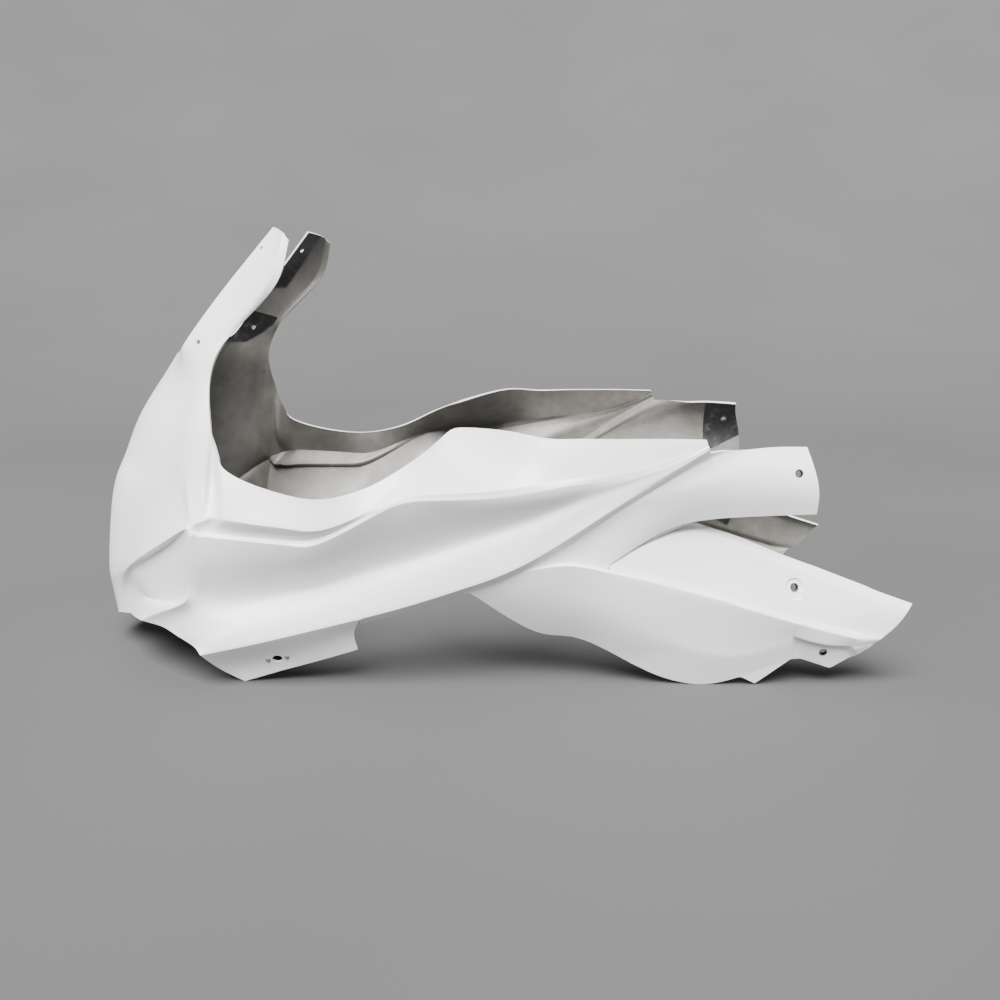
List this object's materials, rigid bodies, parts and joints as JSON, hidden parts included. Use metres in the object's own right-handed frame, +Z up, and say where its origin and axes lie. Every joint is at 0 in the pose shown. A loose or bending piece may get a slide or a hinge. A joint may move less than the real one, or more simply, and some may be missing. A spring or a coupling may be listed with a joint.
{
  "type": "motorcycle upper fairing",
  "caption": "Hollow moulded motorcycle upper fairing with screen arms, side panels with creased flanks, rear tails and lower panels, bonded patches and fixing inserts.",
  "frame": {"origin": "on the centre plane, midway along the length, at the height of the lowest edges", "axes": "+X from the nose to the tail, +Y to the rider's right, +Z up"},
  "size_m": [0.9112, 0.4586, 0.484],
  "materials": {
    "gelcoat": "satin",
    "carbon": "satin",
    "insert_metal": "satin",
    "receptacle_black": "satin",
    "rivet_metal": "satin"
  },
  "bodies": {
    "root": {"fairing_shell": "gelcoat", "arm_patch_left": "carbon", "arm_patch_right": "carbon", "screen_patch_left": "carbon", "screen_patch_right": "carbon", "tail_patch_left": "carbon", "tail_patch_right": "carbon", "panel_patch_left": "carbon", "panel_patch_right": "carbon", "tail_insert_left": "insert_metal", "tail_insert_right": "insert_metal", "panel_insert_left": "insert_metal", "panel_insert_right": "insert_metal", "pad_insert_left": "insert_metal", "pad_insert_right": "insert_metal", "receptacle_left": "receptacle_black", "receptacle_right": "receptacle_black", "front_rivet_left": "rivet_metal", "front_rivet_right": "rivet_metal", "rear_rivet_left": "rivet_metal", "rear_rivet_right": "rivet_metal"}
  },
  "joints": []
}
